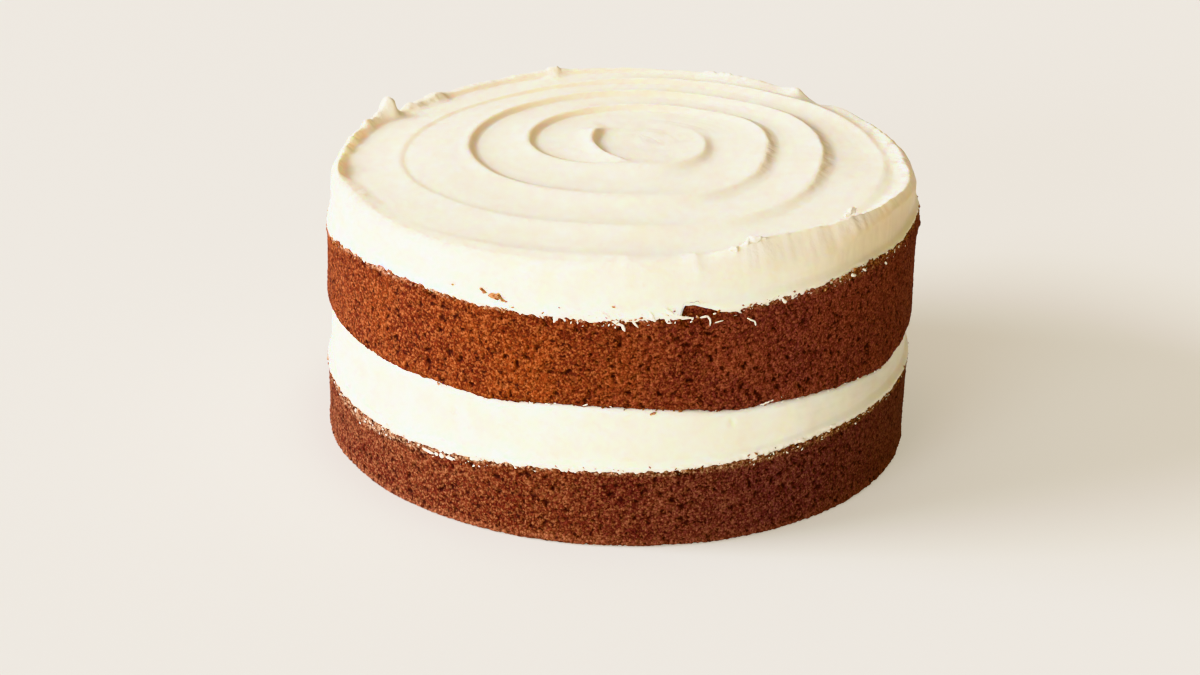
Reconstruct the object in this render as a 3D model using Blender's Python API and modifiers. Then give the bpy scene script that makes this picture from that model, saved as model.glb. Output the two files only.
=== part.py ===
"""A tall round layer cake: two spiced sponges, a thick cream filling and a swirled cream topping.

Metres, +Z up. The origin is on the axis at the middle of the base, and the cake stands on z = 0.
-Y is the front. Every layer is one solid that runs right through the cake. The real layers are
spread by hand, so each seam between two layers leans a little and waves a little.
"""

import math

import bpy

# Driving dimensions.
CAKE_RADIUS = 0.100
SEAM_GAP = 0.0003
# Each seam: its height on the axis, how far it rises towards +X over one cake radius, then the
# number, the height and the bearing of its waves round the side.
BASE = (0.0, 0.0, 0, 0.0, 0.0)
LOWER_SPONGE_TOP = (0.0275, 0.0046, 5, 0.0005, math.radians(-105))
FILLING_TOP = (0.0475, -0.0017, 3, 0.0016, math.radians(-90))
UPPER_SPONGE_TOP = (0.0812, 0.0039, 4, 0.0011, math.radians(-135))
TOPPING_TROUGH = (0.0958, 0.0, 0, 0.0, 0.0)

# Sides: the tin's corner under each sponge, the edges above, and a hand-built side's unevenness.
TIN_CORNER = 0.0035
SPONGE_TOP_EDGE = 0.0016
SPONGE_BULGE = 0.0006
LOWER_SPONGE_TAPER = 0.0005
UPPER_SPONGE_FLARE = 0.0006
CREAM_EDGE = 0.0012
CREAM_INSET = 0.0006
SIDE_SWELL = 0.00022
SIDE_DIMPLE = 0.00013

# The topping's spiral, one palette knife wide, drifting off centre as it closes.
RIM_ROUND_WIDTH = 0.0044
RIM_ROUND_HEIGHT = 0.0090
SWIRL_RIM_RADIUS = CAKE_RADIUS - CREAM_INSET - RIM_ROUND_WIDTH
SWIRL_PITCH = 0.0216
SWIRL_START_RADIUS = 0.0160
SWIRL_INNER_CENTRE = (0.0045, 0.0220)
SWIRL_OUTER_CENTRE = (0.0020, -0.0040)
RIDGE_HEIGHT = 0.0026
RIDGE_SHARPNESS = 2.2

# The lip that the knife pushed up round the rim, highest where it lifted away.
LIP_RADIUS = 0.0945
LIP_WIDTH = 0.0026
LIP_LOW = 0.0012
LIP_HIGH = 0.0032
LIP_HIGH_BEARING = math.radians(140)
LIP_LUMPS = 9
LIP_LUMP_SHARE = 0.3

# Facets.
LAYER_STEPS = 64
TOPPING_STEPS = 84
TOPPING_RINGS = 32
SHARP_ANGLE = math.radians(40)

# Finishes: base colour (linear) and roughness.
LOWER_SPONGE_FINISH = ((0.165, 0.048, 0.020), 0.92)
UPPER_SPONGE_FINISH = ((0.195, 0.058, 0.019), 0.92)
CREAM_FINISH = ((0.900, 0.830, 0.640), 0.45)


def clear_scene():
    for obj in list(bpy.data.objects):
        bpy.data.objects.remove(obj)


def new_collection(name):
    collection = bpy.data.collections.new(name)
    bpy.context.scene.collection.children.link(collection)
    return collection


def finish(name, colour_and_roughness):
    colour, roughness = colour_and_roughness
    material = bpy.data.materials.new(name)
    material.use_nodes = True
    shader = material.node_tree.nodes["Principled BSDF"]
    shader.inputs["Base Color"].default_value = (*colour, 1.0)
    shader.inputs["Roughness"].default_value = roughness
    shader.inputs["Metallic"].default_value = 0.0
    return material


def seam_height(seam, x, y):
    """A seam's height over the point (x, y): its height on the axis, its lean and its waves."""
    middle, lean, waves, wave_height, crest_bearing = seam
    out = math.hypot(x, y) / CAKE_RADIUS
    wave = wave_height * math.cos(waves * (math.atan2(y, x) - crest_bearing))
    return middle + lean * x / CAKE_RADIUS + wave * out**2


def side_swell(bearing, layer):
    """How far a layer's side stands out or in at a bearing. Each layer from the base up differs."""
    return SIDE_SWELL * math.sin(2 * bearing + layer) + SIDE_DIMPLE * math.sin(5 * bearing - layer)


def rounded_top(radius, rise, width, height, steps):
    """Points down the quarter ellipse that rounds an upper edge at (radius, rise)."""
    turns = [math.pi / 2 * step / steps for step in range(steps + 1)]
    return [
        (radius - width * (1 - math.sin(turn)), rise - height * (1 - math.cos(turn)))
        for turn in turns
    ]


def rounded_foot(radius, round_radius, steps):
    """Points down the quarter circle that rounds a lower edge at (radius, 0)."""
    turns = [math.pi / 2 * step / steps for step in range(steps + 1)]
    return [
        (radius - round_radius * (1 - math.cos(turn)), round_radius * (1 - math.sin(turn)))
        for turn in turns
    ]


def layer_profile(height, top_radius, foot_radius, bulge, top_round, foot_round):
    """A layer's half section, from the axis at the top, down the outside, to the axis below."""
    profile = [(0.0, height), (top_radius / 2, height)]
    profile += rounded_top(top_radius, height, top_round, top_round, 2)
    profile.append(((top_radius + foot_radius) / 2 + bulge, height / 2))
    profile += rounded_foot(foot_radius, foot_round, 2)
    profile += [(foot_radius / 2, 0.0), (0.0, 0.0)]
    return profile


def topping_profile(height):
    """The topping's half section: rings close enough to carry the swirl, then the rounded rim."""
    radius = CAKE_RADIUS - CREAM_INSET
    profile = [(SWIRL_RIM_RADIUS * ring / TOPPING_RINGS, height) for ring in range(TOPPING_RINGS)]
    profile += rounded_top(radius, height, RIM_ROUND_WIDTH, RIM_ROUND_HEIGHT, 3)
    profile += rounded_foot(radius, CREAM_EDGE, 1)
    profile += [(radius / 2, 0.0), (0.0, 0.0)]
    return profile


def turned(name, profile, steps, collection):
    """A solid turned from its half section with a Screw modifier, kept as a mesh of its own."""
    mesh = bpy.data.meshes.new(name)
    edges = [(i, i + 1) for i in range(len(profile) - 1)]
    mesh.from_pydata([(radius, 0.0, height) for radius, height in profile], edges, [])
    obj = bpy.data.objects.new(name, mesh)
    collection.objects.link(obj)
    screw = obj.modifiers.new("turn", "SCREW")
    screw.steps = steps
    screw.render_steps = steps
    screw.use_merge_vertices = True
    screw.merge_threshold = 0.00001
    graph = bpy.context.evaluated_depsgraph_get()
    obj.data = bpy.data.meshes.new_from_object(obj.evaluated_get(graph))
    obj.modifiers.clear()
    return obj


def gather_rings(obj):
    """Slides the topping's inner rings over the swirl's own centre, so the ridges run along them."""
    for vertex in obj.data.vertices:
        share = 1 - math.hypot(vertex.co.x, vertex.co.y) / SWIRL_RIM_RADIUS
        if share > 0:
            vertex.co.x += SWIRL_INNER_CENTRE[0] * share
            vertex.co.y += SWIRL_INNER_CENTRE[1] * share


def lay_between(obj, below, above, height, layer):
    """Moves a turned blank's points so that its faces lie on the seam below and the seam above."""
    lift = 0.0 if below == BASE else SEAM_GAP / 2
    drop = 0.0 if above == TOPPING_TROUGH else SEAM_GAP / 2
    for vertex in obj.data.vertices:
        x, y, z = vertex.co
        stretch = 1 + side_swell(math.atan2(y, x), layer) / CAKE_RADIUS
        x, y = x * stretch, y * stretch
        low = seam_height(below, x, y) + lift
        high = seam_height(above, x, y) - drop
        vertex.co = (x, y, low + (high - low) * z / height)


def swirl_height(x, y):
    """Relief of the spiral: a flat-bottomed trough between ridges that one knife pass leaves."""
    out = min(math.hypot(x, y) / CAKE_RADIUS, 1.0)
    centre_x = SWIRL_INNER_CENTRE[0] + out * (SWIRL_OUTER_CENTRE[0] - SWIRL_INNER_CENTRE[0])
    centre_y = SWIRL_INNER_CENTRE[1] + out * (SWIRL_OUTER_CENTRE[1] - SWIRL_INNER_CENTRE[1])
    reach = math.hypot(x - centre_x, y - centre_y)
    bearing = math.atan2(y - centre_y, x - centre_x)
    turns = (reach - SWIRL_START_RADIUS) / SWIRL_PITCH + (bearing - math.pi) / (2 * math.pi)
    across = turns - math.floor(turns)
    ridge = abs(2 * across - 1) ** RIDGE_SHARPNESS
    calm = min(reach / SWIRL_START_RADIUS, 1.0)
    return RIDGE_HEIGHT * ridge * calm


def lip_height(x, y):
    """Relief of the lip round the rim."""
    bearing = math.atan2(y, x)
    share = 0.5 + 0.5 * math.cos(bearing - LIP_HIGH_BEARING)
    lumps = 1 + LIP_LUMP_SHARE * math.sin(LIP_LUMPS * bearing)
    crest = (LIP_LOW + (LIP_HIGH - LIP_LOW) * share**2) * lumps
    off = (math.hypot(x, y) - LIP_RADIUS) / LIP_WIDTH
    return crest * math.exp(-off * off)


def raise_relief(obj):
    """Adds the swirl and the lip to the topping's upper face, and fades them down its side."""
    fade_foot = TOPPING_TROUGH[0] - RIM_ROUND_HEIGHT
    for vertex in obj.data.vertices:
        x, y, z = vertex.co
        share = min((z - fade_foot) / RIM_ROUND_HEIGHT, 1.0)
        if share > 0:
            vertex.co.z = z + (swirl_height(x, y) + lip_height(x, y)) * share


def shade(obj, material):
    obj.data.materials.clear()
    obj.data.materials.append(material)
    obj.data.shade_smooth()
    obj.data.set_sharp_from_angle(angle=SHARP_ANGLE)


def build_sponge(name, below, above, top_radius, foot_radius, layer, material, collection):
    height = above[0] - below[0]
    profile = layer_profile(
        height, top_radius, foot_radius, SPONGE_BULGE, SPONGE_TOP_EDGE, TIN_CORNER
    )
    sponge = turned(name, profile, LAYER_STEPS, collection)
    lay_between(sponge, below, above, height, layer)
    shade(sponge, material)


def build_filling(material, collection):
    height = FILLING_TOP[0] - LOWER_SPONGE_TOP[0]
    radius = CAKE_RADIUS - CREAM_INSET
    profile = layer_profile(height, radius, radius, -CREAM_INSET, CREAM_EDGE, CREAM_EDGE)
    filling = turned("cream_filling", profile, LAYER_STEPS, collection)
    lay_between(filling, LOWER_SPONGE_TOP, FILLING_TOP, height, layer=2)
    shade(filling, material)


def build_topping(material, collection):
    height = TOPPING_TROUGH[0] - UPPER_SPONGE_TOP[0]
    topping = turned("cream_topping", topping_profile(height), TOPPING_STEPS, collection)
    gather_rings(topping)
    lay_between(topping, UPPER_SPONGE_TOP, TOPPING_TROUGH, height, layer=4)
    raise_relief(topping)
    shade(topping, material)


def build_cake():
    clear_scene()
    cake = new_collection("layer_cake")
    lower_crumb = finish("lower_sponge_crumb", LOWER_SPONGE_FINISH)
    upper_crumb = finish("upper_sponge_crumb", UPPER_SPONGE_FINISH)
    cream = finish("whipped_cream_cheese", CREAM_FINISH)
    tapered_foot = CAKE_RADIUS - LOWER_SPONGE_TAPER
    flared_top = CAKE_RADIUS + UPPER_SPONGE_FLARE
    build_sponge(
        "sponge_lower", BASE, LOWER_SPONGE_TOP, CAKE_RADIUS, tapered_foot, 1, lower_crumb, cake
    )
    build_filling(cream, cake)
    build_sponge(
        "sponge_upper", FILLING_TOP, UPPER_SPONGE_TOP, flared_top, CAKE_RADIUS, 3, upper_crumb, cake
    )
    build_topping(cream, cake)


build_cake()
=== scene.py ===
import math

import bpy
import numpy as np
from mathutils import Matrix, Vector, noise


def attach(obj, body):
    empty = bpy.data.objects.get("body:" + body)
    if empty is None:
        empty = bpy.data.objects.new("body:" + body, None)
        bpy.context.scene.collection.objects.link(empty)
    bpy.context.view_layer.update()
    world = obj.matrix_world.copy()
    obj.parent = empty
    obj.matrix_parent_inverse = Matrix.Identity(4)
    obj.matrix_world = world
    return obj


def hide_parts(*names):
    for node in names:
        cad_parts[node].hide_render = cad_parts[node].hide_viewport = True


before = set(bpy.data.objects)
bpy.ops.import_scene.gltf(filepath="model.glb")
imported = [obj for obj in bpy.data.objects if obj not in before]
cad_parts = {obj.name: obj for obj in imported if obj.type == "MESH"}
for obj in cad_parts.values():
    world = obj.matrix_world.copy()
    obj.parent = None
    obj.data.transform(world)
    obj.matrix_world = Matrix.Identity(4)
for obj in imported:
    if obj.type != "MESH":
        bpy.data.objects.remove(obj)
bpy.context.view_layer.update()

MM = 0.001


# --- Lower sponge -----------------------------------------------------------------------------
# A round of dark spiced sponge, baked in an 8 inch tin. Its top was cut level with a saw knife,
# which tore the crumb along the edge, and its foot kept the tin's small paler corner.

CAKE_RADIUS = 100 * MM
SPONGE_FACE_RADIUS = 101.1 * MM
CRUMB_STEP = 0.5 * MM
LAYER_GAP = 0.15 * MM

# Bells round the side are listed as their height in mm, their bearing and their half width in
# degrees, with bearing 0 at +X and -90 at the front.
FILLING_SWELLS = ((-1.7, -113, 9), (-1.2, -69, 9), (-1.6, -28, 6))
UPPER_SPONGE_SWELLS = ((-3.4, -172, 11), (2.4, -13, 9))
LOWER_TORN_BAND = ((2.1, -142, 24), (1.4, -52, 30), (-1.2, -100, 14))

# Each seam: its height on the axis, its rise towards +X over one cake radius, the number, height
# and bearing of the waves round the side, and the bells added to them.
LOWER_SPONGE_TOP = (27.5 * MM, 4.6 * MM, 5, 0.5 * MM, -105, ())
FILLING_TOP = (47.5 * MM, -1.7 * MM, 3, 1.6 * MM, -90, FILLING_SWELLS)
UPPER_SPONGE_TOP = (81.2 * MM, 3.9 * MM, 4, 1.1 * MM, -135, UPPER_SPONGE_SWELLS)


def seam_height(seam, x, y):
    """A seam's height over points x, y."""
    middle, lean, waves, wave_height, crest_bearing, swells = seam
    out = np.hypot(x, y) / CAKE_RADIUS
    bearing = np.arctan2(y, x)
    wave = wave_height * np.cos(waves * (bearing - math.radians(crest_bearing)))
    wave = wave + bumps(bearing, swells) * MM
    return middle + lean * x / CAKE_RADIUS + wave * out**2


def grain(points, size, seed):
    """Smooth noise from -1 to 1 at each point, with lumps of about that size."""
    shift = Vector((seed * 7.31, seed * 3.17, seed * 11.3))
    return np.array([noise.noise(Vector(p) + shift) for p in (points / size).tolist()])


def packed_crumbs(points, size, seed):
    """Rounded crumbs of about that size packed together: 1 at a crumb's middle, 0 between crumbs."""
    shift = Vector((seed * 5.77, seed * 9.13, seed * 2.71))
    near = [noise.voronoi(Vector(p) + shift)[0][0] for p in (points / size).tolist()]
    return 1 - np.minimum(np.array(near) / 0.8, 1) ** 2


def ramp(values, start, end):
    """0 at start, 1 at end and an even S between them, clamped."""
    share = np.clip((values - start) / (end - start), 0, 1)
    return share * share * (3 - 2 * share)


def bump_at(bearing, middle, half_width):
    """A bell of height 1 at a bearing. Only bearing is in radians."""
    off = (np.degrees(bearing) - middle + 180) % 360 - 180
    return np.exp(-((off / half_width) ** 2))


def bumps(bearing, bells):
    """The sum of the listed bells at a bearing in radians."""
    return sum(height * bump_at(bearing, middle, half_width) for height, middle, half_width in bells)


def round_the_side(columns):
    """That many even bearings round the side, in radians, and the directions out towards them."""
    bearing = np.arange(columns) * 2 * math.pi / columns
    return bearing, np.stack([np.cos(bearing), np.sin(bearing)], 1)


def faces_between(inner, outer, first_inner, first_outer):
    """Faces that join a ring of points to the next, which has as many points, twice or half."""
    i = np.arange(min(inner, outer))
    if inner == outer:
        after = (i + 1) % inner
        corners = [first_inner + i, first_outer + i, first_outer + after, first_inner + after]
        return np.stack(corners, 1).tolist()
    few_first, many_first = first_inner, first_outer
    if outer < inner:
        few_first, many_first = first_outer, first_inner
    few = few_first + i
    few_next = few_first + (i + 1) % len(i)
    many = many_first + 2 * i
    many_next = many_first + (2 * i + 2) % (2 * len(i))
    fans = [[few, many, many + 1], [few, many + 1, few_next], [few_next, many + 1, many_next]]
    faces = np.concatenate([np.stack(fan, 1) for fan in fans])
    return (faces if inner < outer else faces[:, ::-1]).tolist()


def closed_skin(rings):
    """The points and faces of a closed skin over rings of points, with a pole at each end."""
    counts = [len(ring) for ring in rings]
    starts = np.concatenate([[0], np.cumsum(counts)]).tolist()
    top = starts[-1]
    foot = top + 1
    faces = []
    for k in range(len(rings) - 1):
        faces += faces_between(counts[k], counts[k + 1], starts[k], starts[k + 1])
    first = np.arange(counts[0])
    first_next = (first + 1) % counts[0]
    faces += np.stack([np.full(counts[0], top), first, first_next], 1).tolist()
    last = np.arange(counts[-1])
    last_next = (last + 1) % counts[-1]
    under = starts[-2]
    faces += np.stack([np.full(counts[-1], foot), under + last_next, under + last], 1).tolist()
    poles = [rings[0].mean(0, keepdims=True), rings[-1].mean(0, keepdims=True)]
    return np.concatenate(list(rings) + poles), faces


def ringed_piece(name, rings, masks, material):
    """A closed piece over rings of points, from the middle of its top, out, down and under."""
    points, faces = closed_skin(rings)
    mesh = bpy.data.meshes.new(name)
    mesh.from_pydata(points.tolist(), [], faces)
    for mask, values in masks.items():
        ends = [values[0].mean(keepdims=True), values[-1].mean(keepdims=True)]
        layer = mesh.attributes.new(mask, "FLOAT", "POINT")
        layer.data.foreach_set("value", np.concatenate(list(values) + ends).astype(np.float32))
    mesh.shade_smooth()
    return placed(name, mesh, material)


def placed(name, mesh, material):
    """A piece in the scene with that mesh and material."""
    mesh.materials.append(material)
    piece = bpy.data.objects.new(name, mesh)
    bpy.context.scene.collection.objects.link(piece)
    return piece


def linear(code):
    """An sRGB hex colour as linear RGBA."""
    shares = [int(code[i : i + 2], 16) / 255 for i in (1, 3, 5)]
    return [s / 12.92 if s <= 0.04045 else ((s + 0.055) / 1.055) ** 2.4 for s in shares] + [1.0]


def add_node(tree, kind, settings=None, links=None):
    """Adds a shader node, sets its properties and sockets, and links sockets to other nodes."""
    node = tree.nodes.new("ShaderNode" + kind)
    for key, value in (settings or {}).items():
        if isinstance(key, str) and hasattr(node, key):
            setattr(node, key, value)
        else:
            node.inputs[key].default_value = value
    for socket, source in (links or {}).items():
        tree.links.new(source, node.inputs[socket])
    return node


def new_material(name):
    """A material with an empty Principled surface: the material, its tree and its shader."""
    material = bpy.data.materials.new(name)
    material.use_nodes = True
    return material, material.node_tree, material.node_tree.nodes["Principled BSDF"]


def per_metre(size_mm):
    """The scale of a texture whose lumps are that big."""
    return 1000 / size_mm


def layered(tree, base, layers):
    """A base colour with others laid over it in turn. Each has a value that it follows, the two
    limits of it between which the colour sets in, the colour's largest share, and the colour."""
    for value, low, high, most, colour in layers:
        limits = {"From Min": low, "From Max": high, "To Max": most}
        share = add_node(tree, "MapRange", limits, {"Value": value}).outputs["Result"]
        mix = add_node(tree, "Mix", {"data_type": "RGBA"}, {0: share})
        for socket, source in ((mix.inputs[6], base), (mix.inputs[7], colour)):
            if isinstance(source, str):
                socket.default_value = linear(source)
            else:
                tree.links.new(source, socket)
        base = mix.outputs[2]
    return base


def sponge_crumb(name, **colours):
    """Baked spiced sponge, cut and torn: dull, open crumb. Each crumb has a brown of its own, the
    gaps, small holes and sunken pits between them are painted nearly black as shade, and the face
    drifts from orange to red over a few fingers. Baked edges go a deeper brown, and the same mask
    paints shade on the upper sponge's lit left and in its chip; the side towards +X gets a paler,
    greyer painted shade tint; and torn crumb near the cut shows golden, with cream rubbed into it."""
    material, tree, shader = new_material(name)
    place = add_node(tree, "TexCoord").outputs["Object"]
    relief, torn_crumb, browned, moist = (
        add_node(tree, "Attribute", {"attribute_name": key}).outputs["Fac"]
        for key in ("crumb_relief", "torn_crumb", "browned", "moist")
    )
    drift, patch, fleck, rub, holes = (
        add_node(
            tree, "TexNoise", {"Scale": per_metre(size), "Detail": detail}, {"Vector": place}
        ).outputs["Fac"]
        for size, detail in ((19, 2.0), (5, 2.0), (0.6, 4.0), (1.1, 3.0), (1.8, 2.0))
    )
    stir = add_node(
        tree, "TexNoise", {"Scale": per_metre(1.4), "Detail": 2.0}, {"Vector": place}
    ).outputs["Color"]
    stir = add_node(
        tree, "VectorMath", {"operation": "MULTIPLY_ADD", 1: (0.8 * MM,) * 3}, {0: stir, 2: place}
    ).outputs["Vector"]
    cell = add_node(tree, "TexVoronoi", {"Scale": per_metre(0.72)}, {"Vector": stir}).outputs
    own = add_node(tree, "SeparateColor", links={"Color": cell["Color"]}).outputs["Red"]
    rubbed = add_node(
        tree, "MapRange", {"From Min": 0.42, "From Max": 0.56}, {"Value": rub, "To Max": torn_crumb}
    ).outputs["Result"]
    torn = layered(tree, colours["torn"], [(fleck, 0.42, 0.62, 1.0, colours["torn_pale"])])
    layers = (
        (drift, 0.36, 0.62, 1.0, colours["orange"]),
        (patch, 0.50, 0.70, 0.5, colours["dark"]),
        # Baked-brown colour; on the upper sponge this layer also paints shade on the lit left and in
        # the chip.
        (browned, 0.0, 1.0, 1.0, colours["browned"]),
        (own, 0.45, 1.0, 0.7, colours["grain"]),
        (fleck, 0.55, 0.67, 0.7, colours["grain"]),
        # Painted shade tint: a paler, greyer crumb colour towards +X, the side in shade.
        (moist, 0.0, 1.0, 0.5, colours["moist"]),
        (own, 0.40, 0.0, 0.6, colours["dark"]),
        (rubbed, 0.0, 1.0, 1.0, torn),
        # Painted shade: the gaps between crumbs, dark specks, holes and, from the relief, sunken pits
        # are painted near black.
        (cell["Distance"], 0.45, 0.85, 0.6, colours["pore"]),
        (fleck, 0.46, 0.32, 0.85, colours["pore"]),
        (holes, 0.60, 0.67, 0.9, colours["pore"]),
        (relief, 0.0, -1.0, 1.0, colours["pore"]),
    )
    tree.links.new(layered(tree, colours["red"], layers), shader.inputs["Base Color"])
    round_crumb = add_node(
        tree,
        "MapRange",
        {"From Min": 0.1, "From Max": 0.8, "To Min": 1.0, "To Max": 0.0},
        {"Value": cell["Distance"]},
    )
    clods = add_node(
        tree,
        "Bump",
        {"Strength": 0.5, "Distance": 0.25 * MM},
        {"Height": round_crumb.outputs["Result"]},
    )
    grit = add_node(
        tree,
        "Bump",
        {"Strength": 0.6, "Distance": 0.2 * MM},
        {"Height": fleck, "Normal": clods.outputs["Normal"]},
    )
    tree.links.new(grit.outputs["Normal"], shader.inputs["Normal"])
    shader.inputs["Roughness"].default_value = 0.8
    shader.inputs["Specular IOR Level"].default_value = 0.1
    return material


def sponge_section(height, top_radius, foot_radius, edge, corner):
    """A sponge's half section from its top, down its side and under its foot. Each ring: its
    radius, its height as a share, and the direction, out and up, in which its crumb stands."""
    section = [(top_radius - 14 * MM, 1.0, 0.0, 0.0), (top_radius - 6 * MM, 1.0, 0.0, 0.6)]
    turns = np.linspace(0, math.pi / 2, 5)
    for turn in turns:
        radius = top_radius - edge * (1 - math.sin(turn))
        rise = height - edge * (1 - math.cos(turn))
        section.append((radius, rise / height, math.sin(turn), math.cos(turn)))
    rows = round((height - edge - corner) / CRUMB_STEP)
    for row in range(1, rows):
        share = row / rows
        rise = height - edge - (height - edge - corner) * share
        section.append((top_radius + (foot_radius - top_radius) * share, rise / height, 1.0, 0.0))
    for turn in turns:
        radius = foot_radius - corner * (1 - math.cos(turn))
        rise = corner * (1 - math.sin(turn))
        section.append((radius, rise / height, math.cos(turn), -math.sin(turn)))
    section += [(foot_radius - 8 * MM, 0.0, 0.0, 0.0), (foot_radius - 30 * MM, 0.0, 0.0, 0.0)]
    return section


def sponge_relief(points, below_top, seed):
    """How far the crumb stands out at points of a sponge's side: in metres and as a share."""
    crumbs = packed_crumbs(points, 1.4 * MM, seed)
    fine = grain(points, 0.9 * MM, seed + 1)
    pores = ramp(grain(points, 1.8 * MM, seed + 2), 0.36, 0.58)
    uneven = grain(points, 13 * MM, seed + 3)
    torn = ramp(below_top, 3.5 * MM, 0.5 * MM)
    clods = torn * (grain(points, 2.4 * MM, seed + 4) + 0.3)
    close = 0.30 * (crumbs - 0.55) + 0.22 * fine - 0.55 * pores
    return (close * (1 + 0.5 * torn) + 0.5 * clods + 0.25 * uneven) * MM, close / 0.5


def sponge(name, seams, radii, edge, corner, shape, seed, material):
    """A round of sponge between two seams, or from the table (a seam of None) to a seam. shape
    gives, from points, bearings, height shares and depths below the top, what is special there:
    how far the face moves out, how far the edge moves up, the torn share, and the share of baked
    brown colour, which on the upper sponge also carries painted shade."""
    below, above = seams
    columns = round(2 * math.pi * CAKE_RADIUS / CRUMB_STEP / 4) * 4
    bearing, side = round_the_side(columns)
    height = above[0] - (below[0] if below else 0)
    rings = []
    masks = {"crumb_relief": [], "torn_crumb": [], "browned": [], "moist": []}
    for radius, share, outward, upward in sponge_section(height, *radii, edge, corner):
        x, y = (side * radius).T
        low = seam_height(below, x, y) + LAYER_GAP if below else np.zeros(columns)
        high = seam_height(above, x, y) - LAYER_GAP
        points = np.stack([x, y, low + (high - low) * share], 1)
        depth = high - points[:, 2]
        relief, close = np.zeros(columns), np.zeros(columns)
        move, lift, torn, browned = shape(points, bearing, share, depth)
        if outward or upward:
            relief, close = sponge_relief(points, depth, seed)
        points[:, :2] += side * ((relief + move) * outward)[:, None]
        points[:, 2] += relief * upward + lift * (upward if upward > 0 else 0.6 * upward)
        if not below:
            points[:, 2] = np.maximum(points[:, 2], 0)
        rings.append(points)
        masks["crumb_relief"].append(np.clip(close, -1, 1))
        masks["torn_crumb"].append(torn)
        masks["browned"].append(browned)
        # Painted shade tint: its share grows towards +X, the side away from the window light.
        masks["moist"].append(ramp(x, -40 * MM, 90 * MM))
    return ringed_piece(name, rings, masks, material)


def lower_sponge_shape(points, bearing, share, depth):
    """The golden torn band under the cut, deep at the left and the right of the front, and the
    paler foot with its thin proud rim."""
    deep = 2.3 + bumps(bearing, LOWER_TORN_BAND) + 0.9 * grain(points, 9 * MM, 71)
    torn = ramp(depth / MM + 0.8 * grain(points, 2.2 * MM, 72), deep, deep * 0.55)
    foot = ramp(share, 0.16, 0.03)
    rim = 0.45 * MM * ramp(share, 0.07, 0.03)
    return rim, np.zeros_like(depth), torn, 0.8 * foot * np.ones_like(depth)


lower_crumb = sponge_crumb(
    "torn_dark_sponge",
    red="#61261a",
    orange="#733824",
    browned="#8e5137",
    grain="#9f6641",
    dark="#451810",
    torn="#865637",
    torn_pale="#c5a07a",
    pore="#29100c",
    moist="#75565a",
)
lower_sponge = sponge(
    "lower_sponge",
    (None, LOWER_SPONGE_TOP),
    (SPONGE_FACE_RADIUS, 101.0 * MM),
    edge=1.2 * MM,
    corner=1.2 * MM,
    shape=lower_sponge_shape,
    seed=1,
    material=lower_crumb,
)
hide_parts("sponge_lower")
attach(lower_sponge, "root")


# --- Cream filling ----------------------------------------------------------------------------
# A thick bed of whipped cream cheese, spread between the sponges and then scraped flush round the
# side with a palette knife, which smeared its lower edge thinly over the torn crumb.

FILLING_RADIUS = 100.0 * MM
FILLING_TOP_GAP = 0.2 * MM
FILLING_EDGE_DROP = 0.3 * MM
CREAM_COLUMNS = 720
# How far the skin of a hem goes on under the crumb below the hem's visible end, in mm.
HEM_TUCK = 1.8
# How far inside the side the rings of the hidden top and foot lie, in mm.
FILLING_TOP_INSETS = (20, 6, 1.6)
FILLING_FOOT_INSETS = (3, 8, 30)
# Where the hem hangs less, and by how much.
FILLING_HEM_HELD = ((1.6, -149, 17), (1.3, -57, 14))
# Each pit: its bearing in degrees, then its height and its size in mm.
FILLING_PITS = ((-68, 42, 1.0), (-121, 39, 0.8))
CREAM_FACE = "#f9f4de"
CREAM_CLOUD = "#f7f0d4"
# Colour of the painted warm shade on steep ridge sides and the shaded right side.
CREAM_WARM_SHADE = "#efe0b4"


def whipped_cream(name, depth):
    """Whipped cream cheese, spread with a knife: dense and ivory, with a soft satin sheen. Light
    goes that deep in, so its shadows turn warm. Where it tore it is fluffy and too thin for that.
    A painted warm yellow shade tints the ridges' steep sides and the shaded right side."""
    material, tree, shader = new_material(name)
    place = add_node(tree, "TexCoord").outputs["Object"]
    torn, thin = (
        add_node(tree, "Attribute", {"attribute_name": key}).outputs["Fac"]
        for key in ("torn_cream", "painted_warm_shade")
    )
    cloud, dimples, tufts = (
        add_node(
            tree, "TexNoise", {"Scale": per_metre(size), "Detail": 3.0}, {"Vector": place}
        ).outputs["Fac"]
        for size in (9, 1.8, 1.5)
    )
    # The painted warm shade is laid over the cream where its mask is set.
    layers = ((cloud, 0.35, 0.7, 1.0, CREAM_CLOUD), (thin, 0.0, 1.0, 1.0, CREAM_WARM_SHADE))
    tree.links.new(layered(tree, CREAM_FACE, layers), shader.inputs["Base Color"])
    satin = {"From Min": 0.3, "From Max": 0.7, "To Min": 0.40, "To Max": 0.55}
    satin = add_node(tree, "MapRange", satin, {"Value": cloud})
    tree.links.new(satin.outputs["Result"], shader.inputs["Roughness"])
    soft = {"Strength": 0.3, "Distance": 0.12 * MM}
    soft = add_node(tree, "Bump", soft, {"Height": dimples}).outputs["Normal"]
    fluff = {"Height": tufts, "Strength": torn, "Normal": soft}
    fluff = add_node(tree, "Bump", {"Distance": 0.3 * MM}, fluff)
    tree.links.new(fluff.outputs["Normal"], shader.inputs["Normal"])
    clear = {"From Min": 0.0, "From Max": 0.6, "To Min": 0.9, "To Max": 0.1}
    clear = add_node(tree, "MapRange", clear, {"Value": torn})
    tree.links.new(clear.outputs["Result"], shader.inputs["Subsurface Weight"])
    shader.inputs["Subsurface Radius"].default_value = (1.0, 0.62, 0.22)
    shader.inputs["Subsurface Scale"].default_value = depth
    shader.inputs["Specular IOR Level"].default_value = 0.3
    return material


cream = whipped_cream("spread_cream_cheese", 4.2 * MM)


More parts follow.
